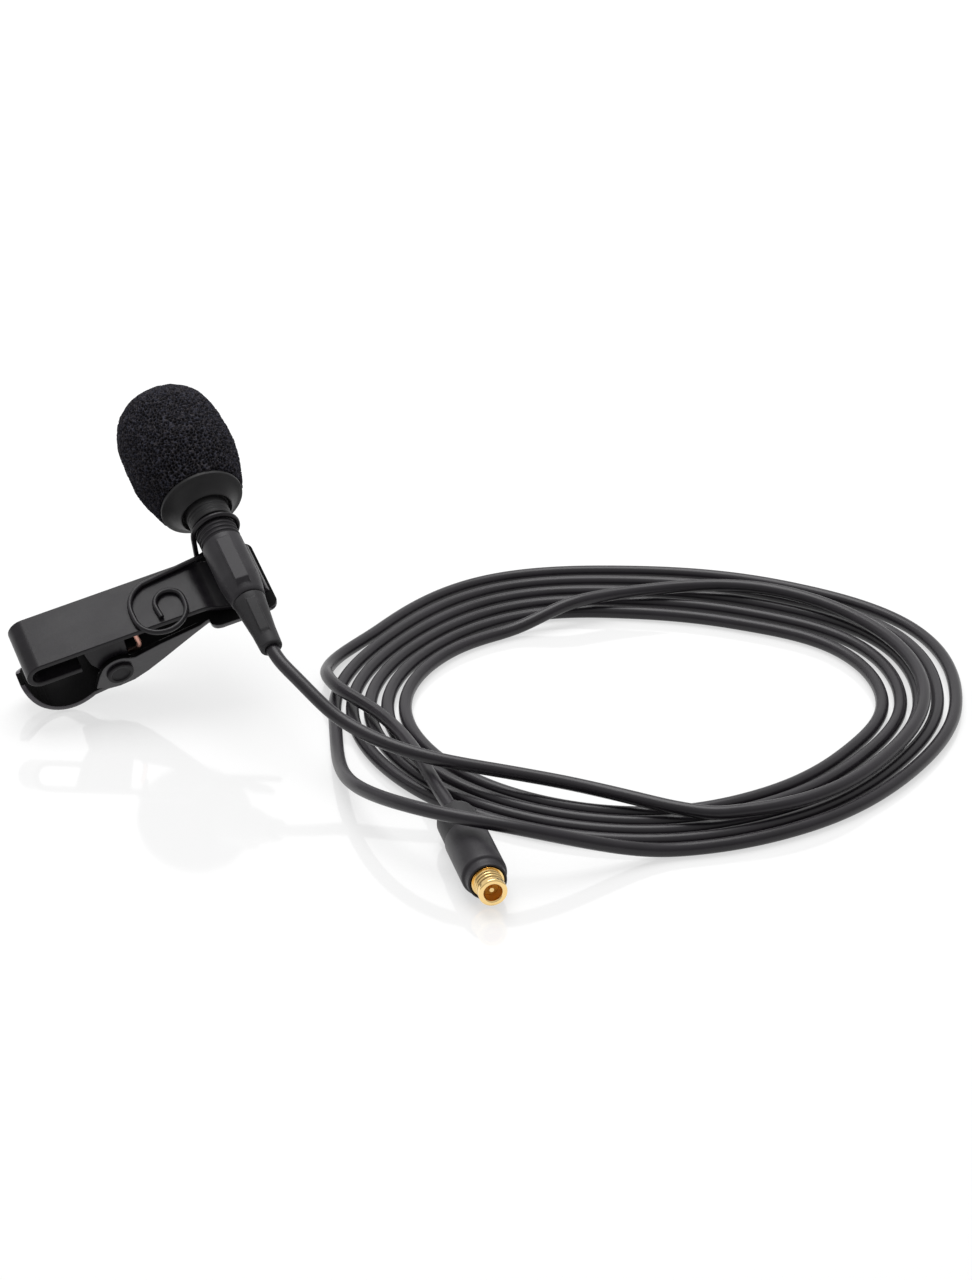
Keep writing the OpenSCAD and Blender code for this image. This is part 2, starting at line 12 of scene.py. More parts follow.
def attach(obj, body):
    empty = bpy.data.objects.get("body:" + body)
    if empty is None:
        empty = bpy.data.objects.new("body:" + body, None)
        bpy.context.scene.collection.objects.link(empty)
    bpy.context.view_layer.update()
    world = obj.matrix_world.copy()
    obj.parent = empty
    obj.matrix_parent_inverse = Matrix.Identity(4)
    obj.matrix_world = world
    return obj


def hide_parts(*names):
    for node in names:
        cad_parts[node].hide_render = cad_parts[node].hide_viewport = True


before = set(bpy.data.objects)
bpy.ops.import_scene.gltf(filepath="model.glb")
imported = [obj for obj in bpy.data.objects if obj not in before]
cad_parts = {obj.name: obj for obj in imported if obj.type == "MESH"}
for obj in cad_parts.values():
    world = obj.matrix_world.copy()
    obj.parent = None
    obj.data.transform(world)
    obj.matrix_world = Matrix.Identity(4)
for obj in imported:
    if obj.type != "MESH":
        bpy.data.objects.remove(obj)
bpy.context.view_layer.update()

bl_info = {
    "name": "Lavalier Microphone",
    "version": (1, 0, 0),
    "blender": (4, 5, 0),
    "location": "View3D > Sidebar > Microphone",
    "description": "Makes a lavalier microphone with its windscreen, clip, coiled lead and plug",
    "category": "Object",
}

MM = 0.001

# ---- meshes, in millimetres and degrees
SHARP = 32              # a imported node's edge that turns more than this is rounded
FLAT = 0.5              # faces that turn less than this are one
CREASE = 60             # an edge that turns more than this is shaded as a crease
PLUG_CREASE = 50        # and so much on the plug's shell and barrel
NO_CREASE = 180         # the foam has none
SAME_POINT = 0.002      # points closer than this are one
SLIVER = 0.003          # faces narrower than this are taken out
ROUNDING = 0.12         # the rounding of moulded edges
PIN_ROUNDING = 0.08     # and of the hinge pin's

# ---- places, in millimetres
MIC_AT = (8.13, -1.47, 19.95)
MIC_TURN = (-25, 12.5, -160.5)
# The clip's axes: +X along the clip to its finger end, +Y along the microphone to its lead, +Z outwards.
CLIP_PLACE = Matrix.Translation(MIC_AT) @ Euler([math.radians(a) for a in MIC_TURN]).to_matrix().to_4x4()
# Turned pieces are drawn about +Z and laid along the microphone, with their -Y side outwards.
MIC_PLACE = CLIP_PLACE @ Matrix.Rotation(math.radians(-90), 4, "X")

COIL_CENTRE = Vector((59.38, -8.77, 0))
PLUG_AT = COIL_CENTRE + Vector((-22.5, -31, 2.55))
PLUG_TURN = -76
PLUG_WAY = Vector((math.cos(math.radians(PLUG_TURN)), math.sin(math.radians(PLUG_TURN)), 0))
PLUG_PLACE = (Matrix.Translation(PLUG_AT) @ Matrix.Rotation(math.radians(PLUG_TURN), 4, "Z")
              @ Matrix.Rotation(math.radians(90), 4, "Y"))

# ---- the foam and its collar, in radii and heights along the microphone
FOAM_BASE_R, FOAM_BASE_AT = 5.45, -5.05
FOAM_WIDE_R, FOAM_WIDE_AT = 6.75, -11.6
FOAM_END_AT = -21.35
FOAM_EDGE_R = 0.35
FOAM_FULLNESS = 2 / 3.4             # the power that makes the foam's dome fuller than a round one
FOAM_STEP, FOAM_TURNS = 0.112, 380  # its mesh: the step along it, and the number of steps round it
FOAM_LUMPS = [(0.45, Vector(), 0.10), (1.3, Vector((7, 3, 1)), 0.06)]   # their scale, place and height
STRUT, STRUT_SLOPE = 0.02, 0.3      # a strut's width and the way down from it, as shares of a cell
NECK_R, NECK_END = 2.65, -8.65
NECK_PLAY = 0.02                    # the collar's neck is so much thinner than the foam's hole
BORE_R, BORE_END = 2.3, -15.25
BORE_WALL, BORE_FLOOR = 0.05, 0.1   # points so far outside its wall and its end still belong to the bore
BORE_CELL = 0.8                     # the painted shade in the bore, as a cell's depth
DISC_R, DISC_BACK, DISC_FRONT = 5.15, -5.05, -4.65
DISC_BACK_ROUNDING, DISC_FRONT_ROUNDING = 0.1, 0.12
DISC_HOLLOW = [(4.7, 0.16), (4.2, 0.52), (3.7, 1.0), (3.36, 1.5)]       # from the disc's front
LIP_AT, COLLAR_END = -2.95, -0.8
LIP_HEIGHT, END_HEIGHT = 0.3, 0.2   # from the lip to the first rib, and from the last one to the end
LIP = [(3.27, -0.02), (3.21, 0.03), (3.13, -0.02), (3.0, -0.25), (2.9, -0.32), (2.76, -0.3), (2.68, -0.1)]
RIBS, RIB_STEPS = 3, 8              # shallow ribs along the collar's sleeve, and the steps of each
RIB_HEIGHT = 0.03
SLEEVE_END = [(-0.03, -0.05), (-0.08, 0)]       # its rounded end, from the neck's radius and the collar's end

# ---- the plug, in radii and heights from its back, and its barrel's from the shell's end
SHELL_R, SHELL_IN_R, MOUTH_R = 2.55, 2.05, 1.88
SHELL_BACK, SHELL_END = 5.9, 15.3
SHELL_BACK_ROUNDING = 0.2
SHOULDER_ROUNDING, SHOULDER_AT = 0.5, -1.7      # the shoulder before the mouth, from the shell's end
SHELL_NECK = [(2.2, -0.95), (2.16, -0.5)]
RIM_ROUNDING, RIM_R = 0.14, 2.02
MOUTH_DEPTH = 3.2
BARREL_IN_R, BARREL_R, BARREL_NECK_R, BARREL_FLANGE_R = 1.0, 1.6, 1.8, 2.03
BARREL_BACK, BARREL_FLANGE, BARREL_END = -4.02, -3.22, 2.4
BARREL_NOSE = 0.2
BARREL_STEP = 0.05
THREAD_FROM, THREAD_END = 0.02, 1.9
THREAD_IN, THREAD_OUT = 0.2, 0.3    # the lengths over which its groove gets deep and shallow
THREAD_DEPTH = 0.22
THREAD_SHARPNESS = 1.5
TURNED_STEPS = 96                   # the steps round the collar, the shell and the barrel

# ---- the rear jaw, in the clip's axes
CLIP_MID = 4.05
SPOON_FROM, SPOON_TO = 20, 28.3     # its finger end, along the clip
SPOON_SHORTER = 0.6                 # it ends so much sooner than the plain solid
SPOON_LOWER = 0.3                   # and so much lower, which clears the front plate when it's pressed
SPOON_TAPER = 0.34                  # and gets so much narrower towards its tip
# How far a face's normal points outwards when it is on the inside, and sideways when it is on a side
INSIDE_FACES, SIDE_FACES = 0.1, 0.3

# ---- the spring round the hinge pin, in the clip's axes
PIVOT = (16.1, -9.6)
SPRING_D = 0.6
SPRING_R = 1.25
SPRING_Y = (5.7, 2.4)               # where its coil begins and ends
SPRING_TURN = math.radians(90 + 360 * 3)
SPRING_STEPS = 52
SPRING_FRONT_LEG = [(13.3, 6.88, -4.75), (13.0, 6.82, -7.2), (14.5, 5.9, -8.8)]
SPRING_REAR_LEG = [(16.24, -10.85), (17.6, -10.9), (18.7, -11.1)]   # it moves with the rear jaw
SPRING_SHADED_BELOW = -7.1           # the height under which the wire is painted nearly black as shade round the hinge pin

# ---- the wire that holds the microphone, in the clip's axes
HOLDER_WIRE_D = 0.64
RING_R = 2.8
WIRE_Z = -3.0
LEG_END = -4.6
WIRE_TO_FACE = [(1.2, 0.25, -2.7), (2.6, 0.75, -2.78), (5, 1, -2.88)]
# The curl's three bends: centre, radius, angles from and to, and steps. Then its free end.
CURL = [(9.3, 5, 3.5, -81.6, 0, 6), (9.65, 6.2, 3.15, 0, 180, 11), (8.2, 5.4, 1.7, 180, 360, 9)]
CURL_END = (9.75, 7.2)

# ---- the lead's route
CORD_D = 1.6
CORD_R = CORD_D / 2
LAYER = CORD_D + 0.45
TURNS = 5
UPPER_FROM = 285
LOWER_FROM = 510
LOWER_TO = LOWER_FROM + 360 * TURNS
WAY_OVER = 15               # the coil's direction at its ends is taken over so many degrees
UPPER_DOWN = (466, 26)      # where the upper turn starts to come down, and over how many degrees
# Where the last turn swings out and over the plug: how far, and where it is farthest, how long before that it
# starts and how long after it ends, in degrees from the plug
PLUG_ANGLE = 90
SWING_OUT = (8.2, -3, 52, 38)
LIFT_OVER = (5.7, 1, 45, 33)
# Radius of the upper turn at every 30 degrees, from 270
UPPER_AT = [31, 32.6, 32.2, 33.3, 33.3, 32, 26.8, 24.7, 27.1, 28.7, 28.7]
# Radius of the first lower turn, and the space from each turn to the next, every 30 degrees from 150
FIRST_AT = [27.1, 28.5, 28.1, 27.5, 26.8, 25.4, 25.2, 27.2, 26.3, 22.6, 22.1, 24.9]
SPACE_AT = [2.15, 2.1, 2.1, 2.1, 2.1, 2.1, 2.1, 2.2, 2.9, 3.2, 3.1, 2.9]
# Points of the two free runs, from the coil's centre
MIC_RUN = [(-41, -12, 10.2), (-38, -15, 8.4), (-35.5, -17, 7.1), (-31, -20, 6), (-26.5, -22, 5.3),
           (-22, -23, 4.7), (-16.5, -23.5, 3.9), (-10.5, -24.5, 3.2), (-6, -26, 2.9), (-2, -28, 2.9),
           (2, -30, 2.9)]
PLUG_RUN = [(-37, 12, 1), (-38.3, 7, 1.7), (-38, 3, 2.6), (-36.4, -1, 3), (-33.5, -4.5, 2.95),
            (-31, -8, 2.9), (-28.5, -13, 2.9), (-26.5, -18.5, 2.9), (-24.5, -25, 2.8)]
RELIEF_END = 19.2
COIL_STEP = 3
RUN_STEPS = 10
EASE_STEP = 0.5     # the route is eased on points this far apart, in so many passes
EASE_PASSES = 14

# ---- colours of the pieces inside, and of the spring
TIN = (0.62, 0.62, 0.63)
GILT = (0.83, 0.6, 0.25)
PALE_RESIN = (0.75, 0.70, 0.58)
BOARD_GREEN = (0.02, 0.13, 0.06)
GREY_FELT = (0.25, 0.23, 0.2)
BARE_COPPER = (0.80, 0.42, 0.26)
COPPER_WASH = (0.98, 0.52, 0.41)

# ---- the camera, the lamp and the floor, in metres
CAMERA_AT, CAMERA_TO = (0.04038, -0.36057, 0.18061), (0.04038, 0.00973, 0)
CAMERA_RANGE = (0.01, 50)   # the nearest and the farthest that it sees
CAMERA_FILM = 36            # its width in millimetres
LAMP_AT, LAMP_TO = (-0.03, 0.26, 0.66), (0.04, 0, 0)
LAMP_WIDTH, LAMP_POWER = 0.5, 3.2
BRIGHT_SIDE = (-0.1, 0.55, 0.85)    # the way to the brightest part of the surroundings
FLOOR_HALF = 4


def cubic(a, b, c, d, t):
    """A point between b and c on the smooth line through four points."""
    return b + t / 2 * (c - a + t * (2 * a - 5 * b + 4 * c - d + t * (3 * (b - c) + d - a)))


def along(values, u):
    """A value between those of a closed list."""
    i, n = math.floor(u), len(values)
    return cubic(*[values[(i + k) % n] for k in (-1, 0, 1, 2)], u - i)


def smooth(t):
    """0 to 1, with an easy start and end."""
    t = min(1, max(0, t))
    return t * t * (3 - 2 * t)


def hump(angle, height, middle, before, after):
    """A rounded swell of the given height, about a middle angle."""
    x = angle - middle
    u = x / (before if x < 0 else after)
    return height * (math.cos(math.radians(90 * u)) ** 2 if abs(u) < 1 else 0)


def coil_point(angle):
    """A point of the coil: its upper turn first, and then the lower ones."""
    if angle < LOWER_FROM:
        radius = along(UPPER_AT, (angle - 270) / 30)
        height = CORD_R + LAYER * (1 - smooth((angle - UPPER_DOWN[0]) / UPPER_DOWN[1]))
    else:
        u = (angle - LOWER_FROM) / 30
        from_plug = angle - LOWER_TO + 360 - PLUG_ANGLE
        radius = along(FIRST_AT, u % 12) + u / 12 * along(SPACE_AT, u % 12) + hump(from_plug, *SWING_OUT)
        height = CORD_R + hump(from_plug, *LIFT_OVER)
    turn = math.radians(angle)
    return COIL_CENTRE + Vector((radius * math.cos(turn), radius * math.sin(turn), height))


def free_run(start, way_out, between, end, way_in):
    """A run of the lead whose ends are straight for one diameter."""
    middle = [COIL_CENTRE + Vector(m) for m in between]
    p = [start, start + CORD_D * way_out, *middle, end - CORD_D * way_in, end]
    bends = [cubic(*p[i - 1:i + 3], k / RUN_STEPS) for i in range(1, len(p) - 2) for k in range(RUN_STEPS)]
    return [start, *bends, p[-2], end]


def lead_route():
    """The lead from the strain relief, round the coil and to the plug, in metres."""
    coil = [coil_point(a) for a in range(UPPER_FROM, LOWER_TO + 1, COIL_STEP)]
    way_on = (coil_point(UPPER_FROM + WAY_OVER) - coil[0]).normalized()
    way_off = (coil[-1] - coil_point(LOWER_TO - WAY_OVER)).normalized()
    start = CLIP_PLACE @ Vector((0, RELIEF_END, 0))
    way_out = (CLIP_PLACE.to_3x3() @ Vector((0, 1, 0))).normalized()
    from_mic = free_run(start, way_out, MIC_RUN, coil[0], way_on)
    to_plug = free_run(coil[-1], way_off, PLUG_RUN, PLUG_AT, PLUG_WAY)
    return [p * MM for p in eased_line(from_mic + coil[1:] + to_plug[1:], EASE_STEP, EASE_PASSES)]


def eased_line(points, step, passes):
    """The line through the points with its kinks eased, on points an even step apart."""
    line, left = [points[0]], step
    for a, b in zip(points, points[1:]):
        length = (b - a).length
        while left < length:
            line.append(a.lerp(b, left / length))
            left += step
        left -= length
    line.append(points[-1])
    for _ in range(passes):
        inner = [(a + 2 * b + c) / 4 for a, b, c in zip(line, line[1:], line[2:])]
        line = [line[0], *inner, line[-1]]
    return line


# ---- finishes
class Value:
    """A socket of a finish. Python's operators on it add Math nodes."""

    def __init__(self, finish, socket):
        self.finish = finish
        self.socket = socket

    def math(self, operation, *terms):
        return self.finish.node("ShaderNodeMath", {"operation": operation}, dict(enumerate(terms)))

    def __add__(self, other):
        return self.math("ADD", self, other)

    def __radd__(self, other):
        return self.math("ADD", other, self)

    def __sub__(self, other):
        return self.math("SUBTRACT", self, other)

    def __rsub__(self, other):
        return self.math("SUBTRACT", other, self)

    def __mul__(self, other):
        return self.math("MULTIPLY", self, other)

    def __rmul__(self, other):
        return self.math("MULTIPLY", other, self)


class Nodes:
    """The nodes of a material or of the surroundings."""

    def __init__(self, owner):
        owner.use_nodes = True
        self.owner = owner
        self.tree = owner.node_tree
        self.tree.nodes.clear()

    def node(self, kind, settings=None, inputs=None, out=0):
        """Adds a node, with its settings first, and returns one of its outputs."""
        node = self.tree.nodes.new(kind)
        for key, value in (settings or {}).items():
            setattr(node, key, value)
        for key, value in (inputs or {}).items():
            if isinstance(value, Value):
                self.tree.links.new(value.socket, node.inputs[key])
            else:
                node.inputs[key].default_value = value
        return Value(self, node.outputs[out])

    def mixed(self, amount, a, b):
        """A colour between two others."""
        return self.node("ShaderNodeMix", {"data_type": "RGBA"}, {0: amount, 6: a, 7: b}, 2)

    def between(self, value, low, high, to_low=0.0, to_high=1.0):
        """A value's place between two others, from 0 to 1 or as given."""
        return self.node("ShaderNodeMapRange", None, {
            "Value": value, "From Min": low, "From Max": high, "To Min": to_low, "To Max": to_high})

    def seen_as(self, *rays):
        """1 for rays of the named kinds, and 0 for others."""
        kinds = [self.node("ShaderNodeLightPath", out=ray) for ray in rays]
        seen = kinds[0]
        for kind in kinds[1:]:
            seen = seen.math("MAXIMUM", seen, kind)
        return seen


class Finish(Nodes):
    """The nodes of one material."""

    def __init__(self, name):
        super().__init__(bpy.data.materials.new(name))

    def here(self, at=(0, 0, 0), turn=(0, 0, 0), stretch=(1, 1, 1)):
        """The place on the piece in millimetres, in axes that stand at a place and turn of their own."""
        place = self.node("ShaderNodeTexCoord", out="Object")
        return self.node("ShaderNodeMapping", {"vector_type": "TEXTURE"}, {
            "Vector": place, "Location": [v * MM for v in at], "Rotation": [math.radians(a) for a in turn],
            "Scale": [MM * s for s in stretch]})

    def noise(self, where, scale, detail=2.0, rough=0.5):
        return self.node("ShaderNodeTexNoise", None,
                         {"Vector": where, "Scale": scale, "Detail": detail, "Roughness": rough})

    def mark(self, name):
        """A value that the mesh carries."""
        return self.node("ShaderNodeAttribute", {"attribute_name": name}, out="Fac")

    def shades(self, cloud, colour, darkest, lightest, low=0.35, high=0.65):
        """A colour that is darker and lighter by a noise."""
        return self.mixed(self.between(cloud, low, high), rgb(colour, darkest), rgb(colour, lightest))

    def relief(self, height, depth):
        """A bump of the given depth in millimetres."""
        return self.node("ShaderNodeBump", None, {"Height": height, "Distance": depth * MM, "Strength": 1.0})

    def surface(self, **inputs):
        """Ends the nodes in a Principled shader and returns the material."""
        shader = self.node("ShaderNodeBsdfPrincipled", None,
                           {key.replace("_", " "): value for key, value in inputs.items()})
        end = self.tree.nodes.new("ShaderNodeOutputMaterial")
        self.tree.links.new(shader.socket, end.inputs["Surface"])
        return self.owner


def rgb(colour, level=1.0):
    """A colour with its alpha, made darker or lighter."""
    return (colour[0] * level, colour[1] * level, colour[2] * level, 1.0)


def moulded_plastic(name, colour, rough):
    """Dark moulded plastic: a fine eroded grain, and a sheen that varies a little."""
    f = Finish(name)
    where = f.here()
    cloud = f.noise(where, scale=0.35, detail=3)
    grain = f.noise(where, scale=9, detail=3, rough=0.6)
    tone = f.shades(cloud, colour, 0.85, 1.2)
    return f.surface(Base_Color=tone, Roughness=rough + 0.10 * (cloud - 0.5) + 0.08 * (grain - 0.5),
                     Normal=f.relief(grain, 0.012), Specular_IOR_Level=0.3)


def lead_jacket(name, colour, rough):
    """Extruded jacket: faint lines along the lead, and slow changes of sheen."""
    f = Finish(name)
    uv = f.node("ShaderNodeUVMap", {"uv_map": "UVMap"})
    # u runs round the jacket and v along it
    drawn_out = f.node("ShaderNodeMapping", None, {"Vector": uv, "Scale": (60, 0.8, 1)})
    lines = f.noise(drawn_out, scale=1, detail=2)
    where = f.here()
    cloud = f.noise(where, scale=0.25, detail=3)
    grain = f.noise(where, scale=7, detail=3, rough=0.6)
    tone = f.shades(cloud, colour, 0.85, 1.2)
    return f.surface(Base_Color=tone, Roughness=rough + 0.10 * (cloud - 0.5) + 0.06 * (grain - 0.5),
                     Normal=f.relief(grain * 0.7 + lines * 0.3, 0.006), Specular_IOR_Level=0.42)


def painted_steel(name, colour, rough, shine, coat=0.0):
    """Satin black paint on sheet metal, with handling marks.

    Faces marked inside have a painted shade, rougher paint and no clear coat, and those marked rim a painted
    highlight.
    """
    f = Finish(name)
    inside = f.mark("inside")
    rim = f.mark("rim")
    rubbed = f.noise(f.here(MIC_AT, MIC_TURN, (2, 1, 1)), scale=0.9, detail=5, rough=0.65)
    cloud = f.noise(f.here(MIC_AT, MIC_TURN), scale=0.22, detail=3)
    specks = f.noise(f.here(MIC_AT, MIC_TURN), scale=11, detail=2)
    tone = f.mixed(f.between(rubbed, 0.45, 0.8), rgb(colour), rgb(colour, 1.7))
    # faces inside the finger end are painted nearly black as shade, and its rim three times as light as a
    # painted highlight
    tone = f.mixed(inside, f.mixed(rim, tone, rgb(colour, 3)), rgb(colour, 0.06))
    roughness = rough + 0.2 * (cloud - 0.5) + 0.12 * (rubbed - 0.5) + 0.4 * inside
    return f.surface(Base_Color=tone, Roughness=roughness,
                     Normal=f.relief(specks, 0.006), Specular_IOR_Level=shine,
                     Coat_Weight=coat * (1 - inside), Coat_IOR=1.55, Coat_Roughness=0.25)


def open_foam(name, colour):
    """Open-cell foam, with painted shade down its cells, so that the struts between them are lighter."""
    f = Finish(name)
    depth = f.mark("cell")
    where = f.here()
    fine = f.noise(where, scale=6.5, detail=2, rough=0.6)
    bluer = (2.7 * colour[0], 3.1 * colour[1], 4.0 * colour[2], 1.0)
    patches = f.noise(where, scale=2.6, detail=1)
    tint = f.mixed(f.between(patches, 0.4, 0.6), rgb(colour, 3.4), bluer)
    # points deep in a cell are painted dark as shade, and the struts lighter, with a random speckle
    lit = (1 - depth) * f.between(fine, 0.35, 0.7, 0.15, 1.2)
    return f.surface(Base_Color=f.mixed(lit, rgb(colour, 0.3), tint), Roughness=0.95 - 0.25 * lit,
                     Normal=f.relief(fine, 0.05), Specular_IOR_Level=0.15)


def plain_metal(name, colour, rough):
    """Plated or bare metal, with a slightly uneven shine."""
    f = Finish(name)
    cloud = f.noise(f.here(), scale=3, detail=4, rough=0.6)
    tone = f.shades(cloud, colour, 0.82, 1)
    return f.surface(Base_Color=tone, Metallic=1.0, Roughness=rough + 0.12 * (cloud - 0.5),
                     Normal=f.relief(cloud, 0.004))


def spring_copper(name, colour, rough):
    """Copper-washed spring wire: bright at its upper end, and painted nearly black as shade round the hinge
    pin.
    """
    f = Finish(name)
    where = f.here(MIC_AT, MIC_TURN)
    cloud = f.noise(where, scale=3, detail=4, rough=0.6)
    height = f.node("ShaderNodeSeparateXYZ", None, {"Vector": where}, "Z")
    height = height + 0.5 * (cloud - 0.5)
    # under this height the copper is painted dark as shade
    bright = f.between(height, SPRING_SHADED_BELOW - 0.15, SPRING_SHADED_BELOW + 0.15)
    tone = f.mixed(bright, rgb(colour, 0.05), rgb(colour))
    return f.surface(Base_Color=tone, Metallic=0.6, Roughness=rough + 0.12 * (cloud - 0.5),
                     Normal=f.relief(cloud, 0.004))


def threaded_gold(name, colour, rough):
    """Gold plate with a painted shade in its thread's grooves."""
    f = Finish(name)
    groove = f.mark("groove")
    cloud = f.noise(f.here(), scale=3, detail=4, rough=0.6)
    dark = (0.22 * colour[0], 0.16 * colour[1], 0.10 * colour[2], 1.0)
    # the grooves are painted dark as shade, and made rougher
    tone = f.mixed(f.between(groove, 0.1, 0.8), rgb(colour), dark)
    return f.surface(Base_Color=tone, Metallic=1.0, Roughness=rough + 0.12 * (cloud - 0.5) + 0.2 * groove)


def resin(name, colour, rough):
    """Moulded resin or film, slightly cloudy."""
    f = Finish(name)
    cloud = f.noise(f.here(), scale=2.2, detail=3)
    tone = f.shades(cloud, colour, 0.8, 1.1)
    return f.surface(Base_Color=tone, Roughness=rough + 0.1 * (cloud - 0.5))


def felt(name, colour):
    """Felted fibre."""
    f = Finish(name)
    fibre = f.noise(f.here(stretch=(3, 1, 1)), scale=9, detail=4, rough=0.7)
    tone = f.shades(fibre, colour, 0.6, 1.2, 0.3, 0.7)
    return f.surface(Base_Color=tone, Roughness=0.9 + 0.1 * (fibre - 0.5), Normal=f.relief(fibre, 0.04),
                     Sheen_Weight=0.3)


def surroundings():
    """White to the camera, and to the object brightest from above and behind."""
    world = bpy.data.worlds.new("surroundings")
    f = Nodes(world)
    way = f.node("ShaderNodeTexCoord", out="Generated")
    rise = f.node("ShaderNodeVectorMath", {"operation": "DOT_PRODUCT"}, {0: way, 1: BRIGHT_SIDE}, "Value")
    lit = f.between(rise, -0.3, 0.6)
    on_matt = 0.176 + 0.504 * lit
    on_gloss = 0.36 + 0.44 * lit
    shiny = f.seen_as("Is Glossy Ray", "Is Transmission Ray")
    level = on_matt + shiny * (on_gloss - on_matt)
    level = level + f.seen_as("Is Camera Ray") * (1 - level)
    light = f.node("ShaderNodeBackground", None, {"Color": rgb((1, 1, 1)), "Strength": level})
    end = f.tree.nodes.new("ShaderNodeOutputWorld")
    f.tree.links.new(light.socket, end.inputs["Surface"])
    return world


# ---- shapes
def add_piece(name, mesh, body, finish):
    """Puts a mesh in the scene as a piece of the microphone."""
    piece = bpy.data.objects.new(name, mesh)
    bpy.context.scene.collection.objects.link(piece)
    mesh.materials.clear()
    mesh.materials.append(finish)
    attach(piece, body)
    return piece


def to_mesh(name, bm, place, crease):
    """Ends a bmesh that was drawn in millimetres. Edges under the crease angle are smooth."""
    bmesh.ops.transform(bm, matrix=Matrix.Scale(MM, 4) @ place, verts=bm.verts)
    mesh = bpy.data.meshes.new(name)
    bm.to_mesh(mesh)
    bm.free()
    mesh.polygons.foreach_set("use_smooth", [True] * len(mesh.polygons))
    mesh.set_sharp_from_angle(angle=math.radians(crease))
    return mesh


def eased(node, body, finish, width, steps=3, shaped=None):
    """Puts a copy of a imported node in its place, with its sharp edges rounded.

    The function shaped, where it's given, moves each of its points, in the clip's axes.
    """
    bm = bmesh.new()
    bm.from_mesh(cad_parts[node].data)
    bmesh.ops.remove_doubles(bm, verts=bm.verts, dist=SAME_POINT * MM)
    if shaped:
        to_clip = CLIP_PLACE.inverted()
        for v in bm.verts:
            v.co = CLIP_PLACE @ shaped(to_clip @ (v.co / MM)) * MM
    bmesh.ops.dissolve_limit(bm, angle_limit=math.radians(FLAT), verts=bm.verts, edges=bm.edges)
    edges = [e for e in bm.edges if e.is_manifold and e.calc_face_angle() > math.radians(SHARP)]
    bmesh.ops.bevel(bm, geom=edges, offset=width * MM, offset_type="OFFSET", segments=steps, profile=0.5,
                    affect="EDGES", material=-1, clamp_overlap=False)
    bmesh.ops.triangulate(bm, faces=[face for face in bm.faces if len(face.verts) > 4])
    bmesh.ops.remove_doubles(bm, verts=bm.verts, dist=SLIVER * MM)
    bmesh.ops.dissolve_degenerate(bm, edges=bm.edges, dist=SLIVER * MM)
    bmesh.ops.recalc_face_normals(bm, faces=bm.faces)
    mesh = bpy.data.meshes.new(node + "_eased")
    bm.to_mesh(mesh)
    bm.free()
    if "custom_normal" in mesh.attributes:
        mesh.attributes.remove(mesh.attributes["custom_normal"])
    mesh.polygons.foreach_set("use_smooth", [True] * len(mesh.polygons))
    mesh.set_sharp_from_angle(angle=math.radians(CREASE))
    piece = add_piece(node + "_eased", mesh, body, finish)
    piece.modifiers.new("even_normals", "WEIGHTED_NORMAL").keep_sharp = True
    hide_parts(node)
    return piece


def spoon_shaped(point):
    """Draws in the rear jaw's finger end and narrows it to a round tip, in the clip's axes."""
    t = max(0, (point.x - SPOON_FROM) / (SPOON_TO - SPOON_FROM))
    width = 1 - SPOON_TAPER * t ** 3
    y = CLIP_MID + (point.y - CLIP_MID) * width
    return Vector((point.x - SPOON_SHORTER * t, y, point.z - SPOON_LOWER * t))


def mark_faces(piece, name, test):
    """Marks the faces whose middle and normal pass a test, in the clip's axes."""
    to_clip = CLIP_PLACE.inverted()
    marks = piece.data.attributes.new(name, "FLOAT", "FACE")
    for face, mark in zip(piece.data.polygons, marks.data):
        passed = test(to_clip @ (face.center / MM), to_clip.to_3x3() @ face.normal)
        mark.value = 1.0 if passed else 0.0


def spun(outline, steps, closed=False):
    """A bmesh of an outline of (radius, height) points, turned about +Z."""
    bm = bmesh.new()
    verts = [bm.verts.new((r, 0, z)) for r, z in outline]
    edges = [bm.edges.new(pair) for pair in zip(verts, verts[1:])]
    if closed:
        edges.append(bm.edges.new((verts[-1], verts[0])))
    bmesh.ops.spin(bm, geom=verts + edges, cent=(0, 0, 0), axis=(0, 0, 1), angle=2 * math.pi,
                   steps=steps, use_merge=True)
    bmesh.ops.remove_doubles(bm, verts=bm.verts, dist=0.001)
    bmesh.ops.recalc_face_normals(bm, faces=bm.faces)
    return bm


def even_outline(outline, step):
    """The outline with points an even step apart."""
    out = [outline[0]]
    for (r0, z0), (r1, z1) in zip(outline, outline[1:]):
        n = max(1, round(math.hypot(r1 - r0, z1 - z0) / step))
        out += [(r0 + (r1 - r0) * k / n, z0 + (z1 - z0) * k / n) for k in range(1, n + 1)]
    return out


def foam_outline():
    """The foam's outline, from its neck to the middle of its front."""
    outline = [(NECK_R, FOAM_BASE_AT)]
    outline += arc((FOAM_BASE_R - FOAM_EDGE_R, FOAM_BASE_AT - FOAM_EDGE_R), FOAM_EDGE_R, 90, 0, 4)
    for i in range(1, 13):
        radius = FOAM_BASE_R + (FOAM_WIDE_R - FOAM_BASE_R) * math.sin(math.pi / 2 * i / 12)
        outline.append((radius, FOAM_BASE_AT - FOAM_EDGE_R
                        + (FOAM_WIDE_AT - FOAM_BASE_AT + FOAM_EDGE_R) * i / 12))
    for degrees in (2, *range(4, 88, 3), 88.5):
        a = math.radians(degrees)
        outline.append((FOAM_WIDE_R * math.cos(a) ** FOAM_FULLNESS,
                        FOAM_WIDE_AT + (FOAM_END_AT - FOAM_WIDE_AT) * math.sin(a) ** FOAM_FULLNESS))
    return [*outline, (0, FOAM_END_AT)]


